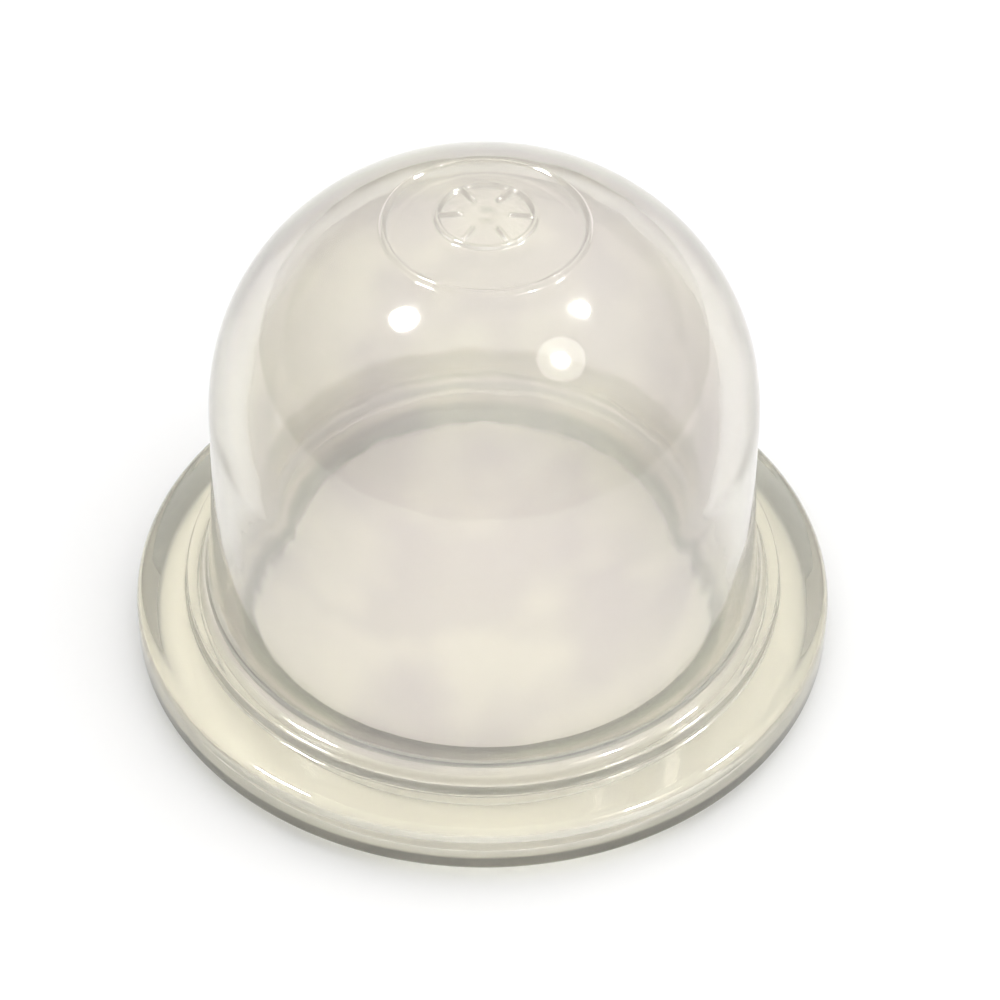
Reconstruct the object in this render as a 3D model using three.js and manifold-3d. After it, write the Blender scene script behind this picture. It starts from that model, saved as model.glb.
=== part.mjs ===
// Primer bulb of a small petrol engine: one clear plastic moulding, pressed with the thumb to draw fuel.
// A round flange is clamped onto the fuel pump's seat, and a hollow dome stands on it.
// Lengths are millimetres and +Z is up. The origin is the centre of the flange's seat face.

import * as THREE from "three";
import { mergeVertices } from "three/addons/utils/BufferGeometryUtils.js";
import Module from "manifold-3d";

// Flange, with a bevel under its rim that leads it into its seat
const FLANGE_DIAMETER = 22.2;
const FLANGE_THICKNESS = 2.0;
const RIM_TOP_ROUND = 0.45;
const RIM_BEVEL_HEIGHT = 0.55;
const RIM_BEVEL_WIDTH = 0.7;
const RIM_BEVEL_ROUND = 0.2;

// Counterbore under the dome's foot, which leaves a seat ring at the rim and a thin lip round the opening
const SEAT_RING_WIDTH = 2.25;
const COUNTERBORE_DEPTH = 1.3;
const COUNTERBORE_ROUND = 0.12;
const OPENING_DIAMETER = 14.1;
const LIP_THICKNESS = 0.7;
const LIP_ROUND = 0.12;
const LIP_FILLET = 0.3;

// Raised collar where the dome meets the flange
const COLLAR_WIDTH = 0.65;
const COLLAR_HEIGHT = 0.45;
const COLLAR_ROUND = 0.12;
const ROOT_FILLET = 0.5;

// Outside of the dome: an outward-leaning wall under a domed cap
const DOME_FOOT_DIAMETER = 17.7;
const DOME_SHOULDER_DIAMETER = 16.9;
const SHOULDER_HEIGHT = 9.1;
const BULB_HEIGHT = 16.9;
const CAP_FULLNESS = 2.12;

// Wall thickness: the cap thins towards its apex, so that it gives under the thumb
const FOOT_WALL = 0.75;
const SHOULDER_WALL = 0.95;
const APEX_WALL = 0.6;

// Plain moulded mark on the apex: a wide ring, a small ring with ribs inside it and a gate dimple
const MARK_RING_DIAMETER = 6.1;
const MARK_CORE_DIAMETER = 2.9;
const MARK_LINE_WIDTH = 0.26;
const MARK_HEIGHT = 0.11;
const MARK_RIB_COUNT = 6;
const MARK_RIB_LENGTH = 0.75;
const MARK_RIB_SINK = 0.15;
const GATE_DIAMETER = 0.9;
const GATE_DEPTH = 0.08;

// Fineness of the faceted curves
const TURN_STEPS = 48;
const CAP_STEPS = 16;
const WALL_STEPS = 5;
const LINE_STEPS = 4;
const ARC_CHORD = 0.2;
const LEAST_ARC_STEPS = 2;
const LARGEST_ROUND_SHARE = 0.8;
const LEAST_STATION_GAP = 0.02;

const CLEAR_PLASTIC = new THREE.MeshStandardMaterial({
  name: "clear_plastic",
  color: new THREE.Color(0.84, 0.8, 0.73),
  roughness: 0.12,
  metalness: 0,
  transparent: true,
  opacity: 0.55,
});

const flangeRadius = FLANGE_DIAMETER / 2;
const seatRingInnerRadius = flangeRadius - SEAT_RING_WIDTH;
const openingRadius = OPENING_DIAMETER / 2;
const lipTop = COUNTERBORE_DEPTH + LIP_THICKNESS;
const domeFootRadius = DOME_FOOT_DIAMETER / 2;
const domeShoulderRadius = DOME_SHOULDER_DIAMETER / 2;
const cavityFootRadius = domeFootRadius - FOOT_WALL;
const cavityShoulderRadius = domeShoulderRadius - SHOULDER_WALL;
const cavityHeight = BULB_HEIGHT - APEX_WALL;
const collarRadius = domeFootRadius + COLLAR_WIDTH;
const collarTop = FLANGE_THICKNESS + COLLAR_HEIGHT;
const markCoreRadius = MARK_CORE_DIAMETER / 2;

// A bump that is 1 in the middle of a line and falls smoothly to 0 at its edges.
function bump(distance, halfWidth) {
  return Math.abs(distance) < halfWidth ? (1 + Math.cos((Math.PI * distance) / halfWidth)) / 2 : 0;
}

// Height of a domed cap at a distance from its axis: a superellipse, elliptical where its fullness is 2.
function capHeight(radius, shoulderRadius, apexHeight) {
  const across = Math.min(radius / shoulderRadius, 1) ** CAP_FULLNESS;
  return SHOULDER_HEIGHT + (apexHeight - SHOULDER_HEIGHT) * (1 - across) ** (1 / CAP_FULLNESS);
}

// Distances from the axis at which a cap gets a point, from its shoulder to its apex.
function capStations(shoulderRadius) {
  return Array.from({ length: CAP_STEPS + 1 }, (_, step) => {
    const angle = (Math.PI / 2) * (step / CAP_STEPS);
    return step === CAP_STEPS ? 0 : shoulderRadius * Math.cos(angle) ** (2 / CAP_FULLNESS);
  });
}

// Distances from the axis that draw one line of the mark.
function lineStations(middle, width) {
  return Array.from({ length: LINE_STEPS + 1 }, (_, step) => middle + width * (step / LINE_STEPS - 0.5));
}

// What the two rings of the mark add to the cap's height, and the gate dimple takes away.
function markRelief(radius) {
  const ring = bump(radius - MARK_RING_DIAMETER / 2, MARK_LINE_WIDTH / 2);
  const core = bump(radius - markCoreRadius, MARK_LINE_WIDTH / 2);
  return MARK_HEIGHT * (ring + core) - GATE_DEPTH * bump(radius, GATE_DIAMETER / 2);
}

// Inside of the cap, from its shoulder up to its apex.
function cavityCap() {
  const stations = capStations(cavityShoulderRadius);
  return stations.map((radius) => [radius, capHeight(radius, cavityShoulderRadius, cavityHeight)]);
}

// Outside of the cap with the mark's rings, from its shoulder up to its apex.
function outerCap() {
  const stations = [
    ...capStations(domeShoulderRadius),
    ...lineStations(MARK_RING_DIAMETER / 2, MARK_LINE_WIDTH),
    ...lineStations(markCoreRadius, MARK_LINE_WIDTH),
    ...lineStations(0, GATE_DIAMETER).filter((radius) => radius > 0),
  ].sort((a, b) => b - a);
  const spaced = stations.filter((radius, i) => i === 0 || stations[i - 1] - radius > LEAST_STATION_GAP);
  return spaced.map((radius) => {
    const height = capHeight(radius, domeShoulderRadius, BULB_HEIGHT) + markRelief(radius);
    return [radius, height];
  });
}

// A wall that leans outwards towards its foot and is upright where it meets the cap.
function leaningWall(footRadius, shoulderRadius, footHeight, footRound) {
  return Array.from({ length: WALL_STEPS }, (_, step) => {
    const rise = step / WALL_STEPS;
    const radius = shoulderRadius + (footRadius - shoulderRadius) * (1 - rise) ** 2;
    return [radius, footHeight + (SHOULDER_HEIGHT - footHeight) * rise, step === 0 ? footRound : 0];
  });
}

// Points of the arc that rounds the corner between two neighbours, no larger than their edges allow.
function roundedCorner(before, corner, after, round) {
  const toBefore = before.clone().sub(corner);
  const toAfter = after.clone().sub(corner);
  const halfAngle = toBefore.angleTo(toAfter) / 2;
  const room = LARGEST_ROUND_SHARE * Math.min(toBefore.length(), toAfter.length());
  const tangent = Math.min(round / Math.tan(halfAngle), room);
  const radius = tangent * Math.tan(halfAngle);
  const start = corner.clone().addScaledVector(toBefore.normalize(), tangent);
  const end = corner.clone().addScaledVector(toAfter.normalize(), tangent);
  const towardsCentre = toBefore.add(toAfter).normalize();
  const centre = corner.clone().addScaledVector(towardsCentre, radius / Math.sin(halfAngle));
  const from = start.sub(centre).angle();
  const sweep = THREE.MathUtils.euclideanModulo(end.sub(centre).angle() - from + Math.PI, 2 * Math.PI) - Math.PI;
  const steps = Math.max(LEAST_ARC_STEPS, Math.ceil((Math.abs(sweep) * radius) / ARC_CHORD));
  return Array.from({ length: steps + 1 }, (_, step) => {
    const angle = from + (sweep * step) / steps;
    return new THREE.Vector2(centre.x + radius * Math.cos(angle), centre.y + radius * Math.sin(angle));
  });
}

// The bulb's whole section in order, from the cavity's apex round the rim to the outer apex.
// Each corner is [radius, height, round], and a corner with no round stays sharp.
function bulbSection() {
  const corners = [
    ...cavityCap().reverse(),
    ...leaningWall(cavityFootRadius, cavityShoulderRadius, lipTop, LIP_FILLET).reverse(),
    [openingRadius, lipTop, LIP_ROUND],
    [openingRadius, COUNTERBORE_DEPTH, LIP_ROUND],
    [seatRingInnerRadius, COUNTERBORE_DEPTH, COUNTERBORE_ROUND],
    [seatRingInnerRadius, 0, COUNTERBORE_ROUND],
    [flangeRadius - RIM_BEVEL_WIDTH, 0, RIM_BEVEL_ROUND],
    [flangeRadius, RIM_BEVEL_HEIGHT, RIM_BEVEL_ROUND],
    [flangeRadius, FLANGE_THICKNESS, RIM_TOP_ROUND],
    [collarRadius, FLANGE_THICKNESS, COLLAR_ROUND],
    [collarRadius, collarTop, COLLAR_ROUND],
    ...leaningWall(domeFootRadius, domeShoulderRadius, collarTop, ROOT_FILLET),
    ...outerCap(),
  ];
  const points = corners.map(([radius, height]) => new THREE.Vector2(radius, height));
  return points.flatMap((point, i) => {
    const round = corners[i][2] ?? 0;
    return round > 0 ? roundedCorner(points[i - 1], point, points[i + 1], round) : [point];
  });
}

// The turned body, with its axis stood up along +Z.
function bulbBody() {
  const body = new THREE.LatheGeometry(bulbSection(), TURN_STEPS);
  return body.rotateX(Math.PI / 2);
}

// One rib of the mark: it follows the cap from the small ring inwards, with its root sunk in the wall.
function markRib(turn) {
  const alongCap = lineStations(markCoreRadius - MARK_RIB_LENGTH / 2, MARK_RIB_LENGTH);
  const top = alongCap.map((radius) => {
    const height = capHeight(radius, domeShoulderRadius, BULB_HEIGHT) + MARK_HEIGHT;
    return new THREE.Vector2(radius, height);
  });
  const root = top.map((point) => new THREE.Vector2(point.x, point.y - MARK_HEIGHT - MARK_RIB_SINK));
  const side = new THREE.Shape([...root, ...top.reverse()]);
  const rib = new THREE.ExtrudeGeometry(side, { depth: MARK_LINE_WIDTH, bevelEnabled: false });
  rib.translate(0, 0, -MARK_LINE_WIDTH / 2);
  rib.rotateX(Math.PI / 2);
  return rib.rotateZ(turn);
}

const wasm = await Module();
wasm.setup();

// A closed three.js geometry as a solid that can be joined.
function toSolid(geometry) {
  geometry.deleteAttribute("normal");
  geometry.deleteAttribute("uv");
  const welded = mergeVertices(geometry);
  const index = welded.getIndex().array;
  const triVerts = [];
  for (let i = 0; i < index.length; i += 3) {
    const [a, b, c] = index.slice(i, i + 3);
    if (a !== b && b !== c && c !== a) {
      triVerts.push(a, b, c);
    }
  }
  const vertProperties = Float32Array.from(welded.getAttribute("position").array);
  return new wasm.Manifold(new wasm.Mesh({ numProp: 3, vertProperties, triVerts: Uint32Array.from(triVerts) }));
}

// The joined solid as a three.js geometry again.
function toGeometry(solid) {
  const { vertProperties, triVerts } = solid.getMesh();
  const geometry = new THREE.BufferGeometry();
  geometry.setAttribute("position", new THREE.BufferAttribute(vertProperties, 3));
  geometry.setIndex(new THREE.BufferAttribute(triVerts, 1));
  geometry.computeVertexNormals();
  return geometry;
}

function primerBulb() {
  let solid = toSolid(bulbBody());
  for (let i = 0; i < MARK_RIB_COUNT; i += 1) {
    solid = solid.add(toSolid(markRib((2 * Math.PI * i) / MARK_RIB_COUNT)));
  }
  const mesh = new THREE.Mesh(toGeometry(solid), CLEAR_PLASTIC);
  mesh.name = "primer_bulb";
  return mesh;
}

const model = new THREE.Group();
model.add(primerBulb());

export default model;
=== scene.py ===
# Studio view of a clear plastic primer bulb: a hollow dome on a round clamping flange.
# The dressed bulb is one finely turned mesh in place of the CAD solid, with the same section.
import math
import bmesh
import bpy
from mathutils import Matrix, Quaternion, Vector


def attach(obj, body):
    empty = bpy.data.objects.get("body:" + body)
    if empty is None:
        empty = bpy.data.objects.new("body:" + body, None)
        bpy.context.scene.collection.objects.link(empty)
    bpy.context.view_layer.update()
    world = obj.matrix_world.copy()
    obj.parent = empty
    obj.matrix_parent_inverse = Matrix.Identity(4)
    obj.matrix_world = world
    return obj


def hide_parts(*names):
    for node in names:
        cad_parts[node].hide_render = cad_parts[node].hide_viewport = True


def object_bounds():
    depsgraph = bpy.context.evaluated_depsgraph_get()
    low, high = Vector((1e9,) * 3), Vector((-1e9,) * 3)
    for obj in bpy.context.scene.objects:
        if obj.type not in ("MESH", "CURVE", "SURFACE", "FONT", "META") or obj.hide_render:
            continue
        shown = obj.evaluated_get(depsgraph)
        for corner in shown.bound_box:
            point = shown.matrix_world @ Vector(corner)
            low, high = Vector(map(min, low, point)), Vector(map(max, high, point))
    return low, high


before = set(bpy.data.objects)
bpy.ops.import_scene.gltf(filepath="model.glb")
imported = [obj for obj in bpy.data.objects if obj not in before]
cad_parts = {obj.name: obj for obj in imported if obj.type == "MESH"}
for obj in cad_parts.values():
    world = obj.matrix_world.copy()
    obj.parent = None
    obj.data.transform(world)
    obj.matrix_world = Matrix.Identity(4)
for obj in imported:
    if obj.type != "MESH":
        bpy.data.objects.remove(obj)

cad_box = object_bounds()

MM = 0.001

# Flange, in millimetres as every size of the bulb
FLANGE_RADIUS = (cad_box[1].x - cad_box[0].x) / 2 / MM
FLANGE_THICKNESS = 2.0
RIM_TOP_ROUND = 0.45
RIM_BEVEL_HEIGHT = 0.55
RIM_BEVEL_WIDTH = 0.7
RIM_BEVEL_ROUND = 0.2

# Counterbore under the dome's foot, and the thin lip that it leaves round the opening
SEAT_RING_WIDTH = 2.25
COUNTERBORE_DEPTH = 1.3
COUNTERBORE_ROUND = 0.12
OPENING_RADIUS = 7.05
LIP_THICKNESS = 0.7
LIP_ROUND = 0.12
LIP_FILLET = 0.3

# Raised collar where the dome meets the flange
COLLAR_WIDTH = 0.65
COLLAR_HEIGHT = 0.45
COLLAR_ROUND = 0.12
ROOT_FILLET = 0.5

# Outside and inside of the dome
DOME_FOOT_RADIUS = 8.85
DOME_SHOULDER_RADIUS = 8.45
SHOULDER_HEIGHT = 9.1
BULB_HEIGHT = 16.9
CAP_FULLNESS = 2.12
FOOT_WALL = 0.75
SHOULDER_WALL = 0.95
APEX_WALL = 0.6

# Plain moulded mark on the apex
MARK_RING_RADIUS = 3.05
MARK_CORE_RADIUS = 1.45
MARK_LINE_WIDTH = 0.26
MARK_HEIGHT = 0.11
MARK_RIB_COUNT = 6
MARK_RIB_LENGTH = 0.75
GATE_RADIUS = 0.45
GATE_DEPTH = 0.08
MARK_REACH = MARK_RING_RADIUS + MARK_LINE_WIDTH

# Bands of their own tint: the thick flange, and three of painted shade, dark on the lower side face
# of the rim, on the bevel under the rim and round the lip of the opening, as the (start, end) of each
# fade in distance from the axis and in height, and the tint
FLANGE = ((8.2, 8.6), (2.7, 2.45), (0.856, 0.836, 0.752))
RIM_SIDE_PAINTED_SHADE = ((10.9, 11.0), (1.1, 0.95), (0.16, 0.16, 0.15))
BEVEL_PAINTED_SHADE = ((10.25, 10.5), (0.65, 0.5), (0.4, 0.41, 0.37))
LIP_PAINTED_SHADE = ((7.6, 7.3), (2.6, 2.2), (0.24, 0.27, 0.22))
TINT_AND_PAINTED_SHADE_BANDS = (FLANGE, RIM_SIDE_PAINTED_SHADE, BEVEL_PAINTED_SHADE, LIP_PAINTED_SHADE)

# Clear plastic: each pair of edges is where a noise changes from one look to the other
REFRACTION = 1.5
CLARITY = 0.78
SMOOTH = (0.04,) * 3
HAZY = (0.09,) * 3
WEAR_SCALE = 900.0
WEAR_DETAIL = 2
WEAR_EDGES = (0.35, 0.7)
RIPPLE_SCALE = 700.0
RIPPLE_DETAIL = 1
RIPPLE_STRENGTH = 0.06
RIPPLE_HEIGHT = 0.0002
CLOUD_SCALE = 200.0
CLOUD_TINT = (0.874, 0.845, 0.815)
CLEAR_TINT = (0.926, 0.906, 0.835)
CLOUD_DETAIL = 2
CLOUD_EDGES = (0.38, 0.62)

# Thin film on the inside of the dome, which fades out between these distances from its middle
FILM_REACH = (8.35, 8.2)
FILM_EDGES = (0.42, 0.58)
FILM_SCALE = 260.0
FILM_GREY = (0.7, 0.665, 0.655)
FILM_CREAM = (0.86, 0.838, 0.76)

# Fineness of the turned mesh
TURN_STEPS = 240
CAP_STEPS = 44
WALL_STEPS = 8
MARK_STATION_GAP = 0.045
CORNER_STEPS = 7
LARGEST_ROUND_SHARE = 0.8

# Camera: it looks down on the bulb from the front
VIEW_ELEVATION = math.radians(44.35)
VIEW_DISTANCE = 0.111
VIEW_ROLL = 0.0137
VIEW_AIM = Vector((0.00052, 0.0, 0.00524))
LENS = 126.9
SENSOR_WIDTH = 36.0
NEAREST_SEEN = 0.001

# Lamps, each by the spot of the dome where the camera sees its highlight, in millimetres from the axis
LAMP_DISTANCE = 0.6
LAMP_COLOUR = (1.0, 0.98, 0.92)
SLOPE_STEP = 0.01
LAMPS = {
    "key_lamp": {"spot": (-2.27, -3.65), "size": 0.10, "power": 6.0},
    "right_lamp": {"spot": (2.74, -3.17), "size": 0.06, "power": 3.0},
    "lower_lamp": {"spot": (2.18, -4.70), "size": 0.05, "power": 2.0},
    "lower_glow": {"spot": (2.18, -4.70), "size": 0.20, "power": 0.35},
}

FLOOR_SIZE = 2.0
FLOOR_DROP = 0.00003
FLOOR_COLOUR = (0.93, 0.93, 0.93, 1.0)
FLOOR_ROUGHNESS = 0.9
FLOOR_GLOSS = 0.1

# Sky of soft white light: where each fade starts and ends, and how bright it is there
HORIZON_LEVEL = 0.1
HORIZON_END = 0.05
ZENITH_LEVEL = 1.4
ZENITH_START = 0.7
BACK_START = 0.1
BACK_END = 0.6
BACK_LEVEL = 0.8
LEFT_END = 0.1
LEFT_LEVEL = 0.6
RIGHT_END = 0.8
SKY_STRENGTH = 1.3
WHITE = (1.0, 1.0, 1.0)
HALF = 0.5

LIGHT_BOUNCES = 12
GLOSS_BOUNCES = 6

# Sockets of the Mix node in its colour form
MIX_FACTOR = 0
MIX_FIRST = 6
MIX_SECOND = 7
MIX_RESULT = 2


def bump(distance, half_width):
    """1 in the middle of a line, falling smoothly to 0 at its edges."""
    if abs(distance) >= half_width:
        return 0.0
    return (1 + math.cos(math.pi * distance / half_width)) / 2


def cap_height(radius, shoulder_radius, apex_height):
    """Height of a domed cap at a distance from its axis."""
    across = min(radius / shoulder_radius, 1.0) ** CAP_FULLNESS
    return SHOULDER_HEIGHT + (apex_height - SHOULDER_HEIGHT) * (1 - across) ** (1 / CAP_FULLNESS)


def cap_section(shoulder_radius, apex_height, least_radius=0.0):
    """Points of a cap from its shoulder towards its apex, as (radius, height, round)."""
    points = []
    for step in range(CAP_STEPS + 1):
        angle = math.pi / 2 * step / CAP_STEPS
        radius = shoulder_radius * max(math.cos(angle), 0.0) ** (2 / CAP_FULLNESS)
        if step == CAP_STEPS:
            radius = 0.0
        if radius >= least_radius:
            points.append((radius, cap_height(radius, shoulder_radius, apex_height), 0))
    return points


def leaning_wall(foot_radius, shoulder_radius, foot_height, foot_round):
    """A wall that leans outwards towards its foot and is upright where it meets the cap."""
    points = []
    for step in range(WALL_STEPS):
        rise = step / WALL_STEPS
        radius = shoulder_radius + (foot_radius - shoulder_radius) * (1 - rise) ** 2
        height = foot_height + (SHOULDER_HEIGHT - foot_height) * rise
        points.append((radius, height, foot_round if step == 0 else 0))
    return points


def rounded_corner(before, corner, after, size):
    """Points of the arc that rounds a corner between two neighbours."""
    to_before = before - corner
    to_after = after - corner
    half_angle = to_before.angle(to_after) / 2
    room = LARGEST_ROUND_SHARE * min(to_before.length, to_after.length)
    tangent = min(size / math.tan(half_angle), room)
    radius = tangent * math.tan(half_angle)
    to_before.normalize()
    to_after.normalize()
    centre = corner + (to_before + to_after).normalized() * (radius / math.sin(half_angle))
    start = corner + to_before * tangent - centre
    end = corner + to_after * tangent - centre
    first = math.atan2(start.y, start.x)
    sweep = (math.atan2(end.y, end.x) - first + math.pi) % (2 * math.pi) - math.pi
    arc = []
    for step in range(CORNER_STEPS + 1):
        angle = first + sweep * step / CORNER_STEPS
        arc.append(centre + Vector((math.cos(angle), math.sin(angle))) * radius)
    return arc


def mark_stations():
    """Points of the outer cap under the mark, close together, from its edge to the apex."""
    count = math.ceil(MARK_REACH / MARK_STATION_GAP)
    points = []
    for step in range(count + 1):
        radius = MARK_REACH * (1 - step / count)
        points.append((radius, cap_height(radius, DOME_SHOULDER_RADIUS, BULB_HEIGHT), 0))
    return points


def bulb_section():
    """The whole section, from the cavity's apex round the rim to the outer apex."""
    seat_ring_inner_radius = FLANGE_RADIUS - SEAT_RING_WIDTH
    cavity_foot_radius = DOME_FOOT_RADIUS - FOOT_WALL
    cavity_shoulder_radius = DOME_SHOULDER_RADIUS - SHOULDER_WALL
    collar_radius = DOME_FOOT_RADIUS + COLLAR_WIDTH
    collar_top = FLANGE_THICKNESS + COLLAR_HEIGHT
    cavity_cap = cap_section(cavity_shoulder_radius, BULB_HEIGHT - APEX_WALL)
    lip_top = COUNTERBORE_DEPTH + LIP_THICKNESS
    cavity_wall = leaning_wall(cavity_foot_radius, cavity_shoulder_radius, lip_top, LIP_FILLET)
    corners = [
        *reversed(cavity_cap),
        *reversed(cavity_wall),
        (OPENING_RADIUS, lip_top, LIP_ROUND),
        (OPENING_RADIUS, COUNTERBORE_DEPTH, LIP_ROUND),
        (seat_ring_inner_radius, COUNTERBORE_DEPTH, COUNTERBORE_ROUND),
        (seat_ring_inner_radius, 0, COUNTERBORE_ROUND),
        (FLANGE_RADIUS - RIM_BEVEL_WIDTH, 0, RIM_BEVEL_ROUND),
        (FLANGE_RADIUS, RIM_BEVEL_HEIGHT, RIM_BEVEL_ROUND),
        (FLANGE_RADIUS, FLANGE_THICKNESS, RIM_TOP_ROUND),
        (collar_radius, FLANGE_THICKNESS, COLLAR_ROUND),
        (collar_radius, collar_top, COLLAR_ROUND),
        *leaning_wall(DOME_FOOT_RADIUS, DOME_SHOULDER_RADIUS, collar_top, ROOT_FILLET),
        *cap_section(DOME_SHOULDER_RADIUS, BULB_HEIGHT, MARK_REACH + MARK_STATION_GAP),
    ]
    points = [Vector((radius, height)) for radius, height, _ in corners]
    section = []
    for i, (point, corner) in enumerate(zip(points, corners)):
        if corner[2]:
            section += rounded_corner(points[i - 1], point, points[i + 1], corner[2])
        else:
            section.append(point)
    return section


def mark_relief(radius, turn):
    """Height that the mark adds to the cap: two rings and ribs between them, less the gate dimple."""
    half_line = MARK_LINE_WIDTH / 2
    ring = bump(radius - MARK_RING_RADIUS, half_line)
    core = bump(radius - MARK_CORE_RADIUS, half_line)
    rib_turn = 2 * math.pi / MARK_RIB_COUNT
    off_rib = (turn + rib_turn / 2) % rib_turn - rib_turn / 2
    rib_middle = MARK_CORE_RADIUS - MARK_RIB_LENGTH / 2
    along = min(1.0, 2 * bump(radius - rib_middle, MARK_RIB_LENGTH / 2 + half_line))
    rib = bump(radius * math.sin(off_rib), half_line) * along
    return MARK_HEIGHT * max(ring, core, rib) - GATE_DEPTH * bump(radius, GATE_RADIUS)


def ring_of_vertices(mesh, radius, height, relief):
    """One turn of the section, or a single vertex on the axis."""
    if radius == 0:
        return [mesh.verts.new((0, 0, (height + relief(0, 0)) * MM))]
    ring = []
    for step in range(TURN_STEPS):
        turn = 2 * math.pi * step / TURN_STEPS
        spot = (radius * math.cos(turn), radius * math.sin(turn), height + relief(radius, turn))
        ring.append(mesh.verts.new(Vector(spot) * MM))
    return ring


def join_rings(mesh, lower, upper):
    """Faces between two turns of the section, as a fan where one of them is a single vertex."""
    for step in range(TURN_STEPS):
        after = (step + 1) % TURN_STEPS
        if len(lower) == 1:
            mesh.faces.new((lower[0], upper[step], upper[after]))
        elif len(upper) == 1:
            mesh.faces.new((lower[step], upper[0], lower[after]))
        else:
            mesh.faces.new((lower[step], upper[step], upper[after], lower[after]))


def no_relief(radius, turn):
    """The relief of every part of the section that the mark isn't on."""
    return 0.0


def turned_bulb():
    """The bulb turned from its section, with the mark raised on its outer cap."""
    section = bulb_section()
    first_marked = len(section)
    section += [Vector((radius, height)) for radius, height, _ in mark_stations()]
    mesh = bmesh.new()
    rings = []
    for i, point in enumerate(section):
        relief = mark_relief if i >= first_marked else no_relief
        rings.append(ring_of_vertices(mesh, point.x, point.y, relief))
    for lower, upper in zip(rings, rings[1:]):
        join_rings(mesh, lower, upper)
    bmesh.ops.recalc_face_normals(mesh, faces=mesh.faces)
    data = bpy.data.meshes.new("clear_bulb")
    mesh.to_mesh(data)
    mesh.free()
    data.shade_smooth()
    bulb = bpy.data.objects.new("clear_bulb", data)
    bpy.context.scene.collection.objects.link(bulb)
    return bulb


def feed(links, socket, value):
    """Link another node's output to a socket, or set the socket to a fixed value."""
    if isinstance(value, bpy.types.NodeSocket):
        links.new(value, socket)
    else:
        socket.default_value = value


def smooth_step(nodes, links, value, start, end):
    """0 before start and 1 after end of a length, or the other way round where end is the smaller."""
    node = nodes.new("ShaderNodeMapRange")
    node.interpolation_type = "SMOOTHSTEP"
    node.inputs["From Min"].default_value = start * MM
    node.inputs["From Max"].default_value = end * MM
    links.new(value, node.inputs["Value"])
    return node.outputs["Result"]


def calculated(nodes, links, operation, *values):
    """The result of a sum on outputs of other nodes and fixed numbers."""
    node = nodes.new("ShaderNodeMath")
    node.operation = operation
    for socket, value in zip(node.inputs, values):
        feed(links, socket, value)
    return node.outputs["Value"]


def vector_length(nodes, links, vector):
    node = nodes.new("ShaderNodeVectorMath")
    node.operation = "LENGTH"
    links.new(vector, node.inputs[0])
    return node.outputs["Value"]


def mixed(nodes, links, factor, first, second, blend_type="MIX"):
    """Two colours: the first where the factor is 0 and the second, or its blend, where it is 1."""
    node = nodes.new("ShaderNodeMix")
    node.data_type = "RGBA"
    node.blend_type = blend_type
    feed(links, node.inputs[MIX_FACTOR], factor)
    feed(links, node.inputs[MIX_FIRST], first)
    feed(links, node.inputs[MIX_SECOND], second)
    return node.outputs[MIX_RESULT]


def inside_of_dome(nodes, links, place):
    """1 on the cavity's surface and 0 on the outside: how near a point is to the dome's middle."""
    stretch = DOME_SHOULDER_RADIUS / (BULB_HEIGHT - SHOULDER_HEIGHT)
    lowered = nodes.new("ShaderNodeVectorMath")
    lowered.operation = "MULTIPLY_ADD"
    lowered.inputs[1].default_value = (1, 1, stretch)
    lowered.inputs[2].default_value = (0, 0, -SHOULDER_HEIGHT * stretch * MM)
    links.new(place, lowered.inputs[0])
    split = nodes.new("ShaderNodeSeparateXYZ")
    links.new(lowered.outputs["Vector"], split.inputs["Vector"])
    joined = nodes.new("ShaderNodeCombineXYZ")
    links.new(split.outputs["X"], joined.inputs["X"])
    links.new(split.outputs["Y"], joined.inputs["Y"])
    above = calculated(nodes, links, "MAXIMUM", split.outputs["Z"], 0.0)
    links.new(above, joined.inputs["Z"])
    reach = vector_length(nodes, links, joined.outputs["Vector"])
    return smooth_step(nodes, links, reach, *FILM_REACH)


def place_on_bulb(nodes, links, place):
    """Distance from the bulb's axis, and height above the floor, of a point of its surface."""
    split = nodes.new("ShaderNodeSeparateXYZ")
    flat = nodes.new("ShaderNodeVectorMath")
    flat.operation = "MULTIPLY"
    flat.inputs[1].default_value = (1, 1, 0)
    links.new(place, split.inputs["Vector"])
    links.new(place, flat.inputs[0])
    return vector_length(nodes, links, flat.outputs["Vector"]), split.outputs["Z"]


def noise(nodes, links, scale, detail, place):
    """A noise texture fixed to the object, as its factor output."""
    texture = nodes.new("ShaderNodeTexNoise")
    texture.inputs["Scale"].default_value = scale
    texture.inputs["Detail"].default_value = detail
    links.new(place, texture.inputs["Vector"])
    return texture.outputs["Fac"]


def ramp(nodes, links, factor, edges, colours):
    """One colour up to the first edge of a factor, another from the second, and a fade between them."""
    node = nodes.new("ShaderNodeValToRGB")
    for element, position, colour in zip(node.color_ramp.elements, edges, colours):
        element.position = position
        element.color = (*colour, 1.0)
    links.new(factor, node.inputs["Fac"])
    return node.outputs["Color"]


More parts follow.
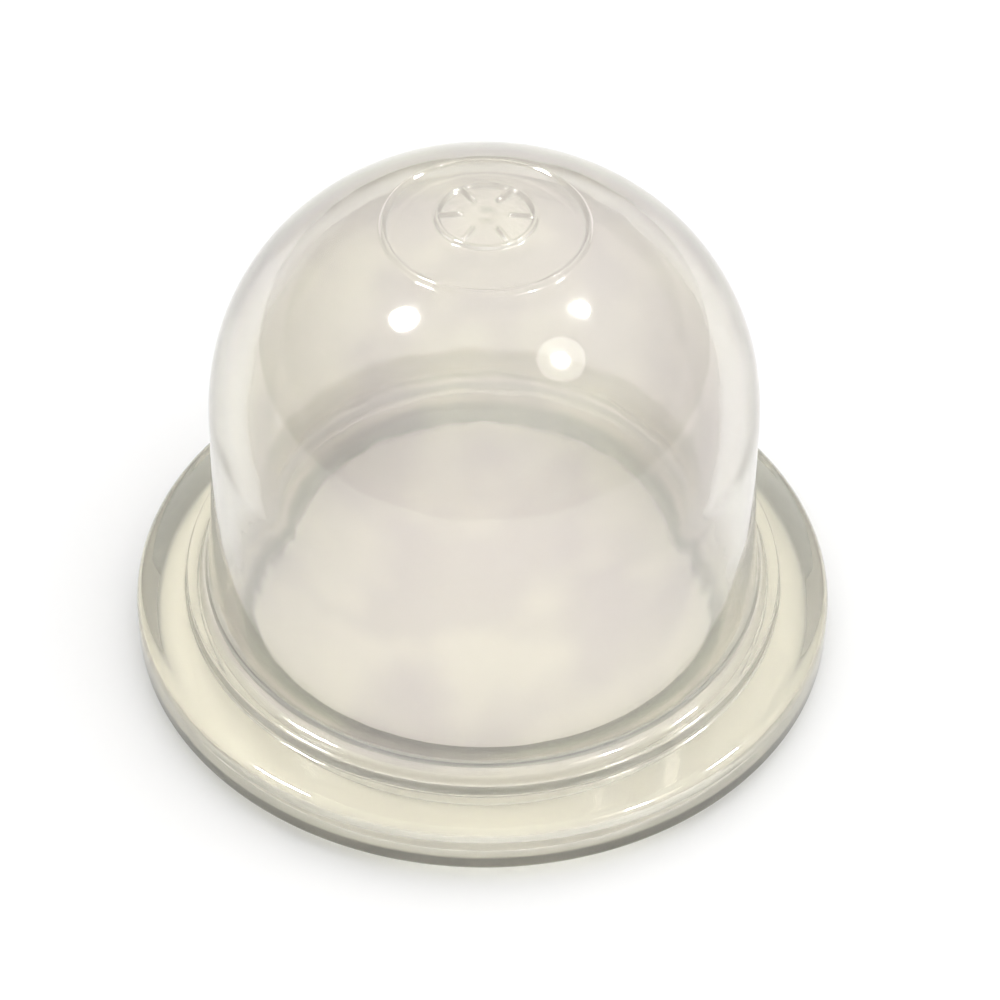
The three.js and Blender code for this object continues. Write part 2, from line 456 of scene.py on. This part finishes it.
def clear_plastic():
    """Cast polyurethane: clear with a warm tint, faintly cloudy, and lightly rippled from its mould."""
    material = bpy.data.materials.new("clear_plastic")
    material.use_nodes = True
    nodes = material.node_tree.nodes
    links = material.node_tree.links
    shader = nodes["Principled BSDF"]
    shader.inputs["IOR"].default_value = REFRACTION
    shader.inputs["Transmission Weight"].default_value = CLARITY
    place = nodes.new("ShaderNodeTexCoord").outputs["Object"]

    clouds = noise(nodes, links, CLOUD_SCALE, CLOUD_DETAIL, place)
    tint = ramp(nodes, links, clouds, CLOUD_EDGES, (CLOUD_TINT, CLEAR_TINT))
    film_clouds = noise(nodes, links, FILM_SCALE, CLOUD_DETAIL, place)
    film = ramp(nodes, links, film_clouds, FILM_EDGES, (FILM_GREY, FILM_CREAM))
    tint = mixed(nodes, links, inside_of_dome(nodes, links, place), tint, film)
    radius, height = place_on_bulb(nodes, links, place)
    # The flange band is the plastic's own tint; the other bands are painted shade, dark under the rim
    # and round the lip of the opening
    for radii, heights, colour in TINT_AND_PAINTED_SHADE_BANDS:
        across = smooth_step(nodes, links, radius, *radii)
        along = smooth_step(nodes, links, height, *heights)
        share = calculated(nodes, links, "MULTIPLY", across, along)
        tint = mixed(nodes, links, share, tint, (*colour, 1.0))
    links.new(tint, shader.inputs["Base Color"])

    handling = noise(nodes, links, WEAR_SCALE, WEAR_DETAIL, place)
    wear = ramp(nodes, links, handling, WEAR_EDGES, (SMOOTH, HAZY))
    links.new(wear, shader.inputs["Roughness"])

    ripple = nodes.new("ShaderNodeBump")
    ripple.inputs["Strength"].default_value = RIPPLE_STRENGTH
    ripple.inputs["Distance"].default_value = RIPPLE_HEIGHT
    links.new(noise(nodes, links, RIPPLE_SCALE, RIPPLE_DETAIL, place), ripple.inputs["Height"])
    links.new(ripple.outputs["Normal"], shader.inputs["Normal"])
    return material


def dressed_bulb():
    """The clear bulb in place of its CAD solid, on the part's one body."""
    bulb = turned_bulb()
    bulb.data.materials.append(clear_plastic())
    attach(bulb, "root")
    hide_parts("primer_bulb")


def floor_material():
    material = bpy.data.materials.new("pale_floor")
    material.use_nodes = True
    shader = material.node_tree.nodes["Principled BSDF"]
    shader.inputs["Base Color"].default_value = FLOOR_COLOUR
    shader.inputs["Roughness"].default_value = FLOOR_ROUGHNESS
    shader.inputs["Specular IOR Level"].default_value = FLOOR_GLOSS
    return material


def pale_floor():
    bpy.ops.mesh.primitive_plane_add(size=FLOOR_SIZE, location=(0, 0, -FLOOR_DROP))
    floor = bpy.context.object
    floor.name = "floor"
    floor.data.materials.append(floor_material())


def grey(level):
    return (level,) * 3


def soft_sky():
    """A dome of white light over the floor, dimmer at the horizon, behind the bulb and on its left."""
    world = bpy.data.worlds.new("soft_sky")
    world.use_nodes = True
    bpy.context.scene.world = world
    nodes = world.node_tree.nodes
    links = world.node_tree.links
    split = nodes.new("ShaderNodeSeparateXYZ")
    links.new(nodes.new("ShaderNodeTexCoord").outputs["Generated"], split.inputs["Vector"])
    heights = (HORIZON_END, ZENITH_START)
    sky = ramp(nodes, links, split.outputs["Z"], heights, (grey(HORIZON_LEVEL), grey(ZENITH_LEVEL)))
    rightness = calculated(nodes, links, "MULTIPLY_ADD", split.outputs["X"], HALF, HALF)
    dimmed = (
        (split.outputs["Y"], (BACK_START, BACK_END), (WHITE, grey(BACK_LEVEL))),
        (rightness, (LEFT_END, RIGHT_END), (grey(LEFT_LEVEL), WHITE)),
    )
    for factor, edges, colours in dimmed:
        sky = mixed(nodes, links, 1.0, sky, ramp(nodes, links, factor, edges, colours), "MULTIPLY")
    links.new(sky, nodes["Background"].inputs["Color"])
    nodes["Background"].inputs["Strength"].default_value = SKY_STRENGTH


def studio_camera():
    """A camera with a long lens in front of the bulb and above it."""
    back = Vector((0, -math.cos(VIEW_ELEVATION), math.sin(VIEW_ELEVATION)))
    data = bpy.data.cameras.new("camera")
    data.lens = LENS
    data.sensor_width = SENSOR_WIDTH
    data.clip_start = NEAREST_SEEN
    camera = bpy.data.objects.new("camera", data)
    bpy.context.scene.collection.objects.link(camera)
    camera.location = VIEW_AIM + back * VIEW_DISTANCE
    camera.rotation_mode = "QUATERNION"
    upright = (-back).to_track_quat("-Z", "Y")
    camera.rotation_quaternion = upright @ Quaternion((0, 0, 1), VIEW_ROLL)
    bpy.context.scene.camera = camera
    return camera


def dome_normal(x, y):
    """Direction away from the dome's surface at a spot of its plan, in millimetres."""
    radius = math.hypot(x, y)
    outer = cap_height(radius + SLOPE_STEP, DOME_SHOULDER_RADIUS, BULB_HEIGHT)
    inner = cap_height(radius - SLOPE_STEP, DOME_SHOULDER_RADIUS, BULB_HEIGHT)
    slope = (outer - inner) / (2 * SLOPE_STEP)
    return Vector((-slope * x / radius, -slope * y / radius, 1)).normalized()


def add_lamp(name, spot, size, power, camera):
    """A round lamp whose highlight the camera sees at one spot of the dome."""
    height = cap_height(math.hypot(*spot), DOME_SHOULDER_RADIUS, BULB_HEIGHT)
    sight = (Vector((*spot, height)) * MM - camera.location).normalized()
    towards = sight.reflect(dome_normal(*spot))
    data = bpy.data.lights.new(name, "AREA")
    data.shape = "DISK"
    data.size = size
    data.energy = power
    data.color = LAMP_COLOUR
    lamp = bpy.data.objects.new(name, data)
    bpy.context.scene.collection.objects.link(lamp)
    lamp.location = towards * LAMP_DISTANCE
    lamp.rotation_mode = "QUATERNION"
    lamp.rotation_quaternion = towards.to_track_quat("Z", "Y")
    lamp.visible_diffuse = False
    lamp.visible_transmission = False


def studio_light(camera):
    for name, facts in LAMPS.items():
        add_lamp(name, facts["spot"], facts["size"], facts["power"], camera)


def light_paths():
    """Enough bounces for light to pass every wall of the hollow bulb, and plain colours."""
    scene = bpy.context.scene
    scene.cycles.max_bounces = LIGHT_BOUNCES
    scene.cycles.transmission_bounces = LIGHT_BOUNCES
    scene.cycles.glossy_bounces = GLOSS_BOUNCES
    scene.view_settings.view_transform = "Standard"


dressed_bulb()
pale_floor()
soft_sky()
studio_light(studio_camera())
light_paths()
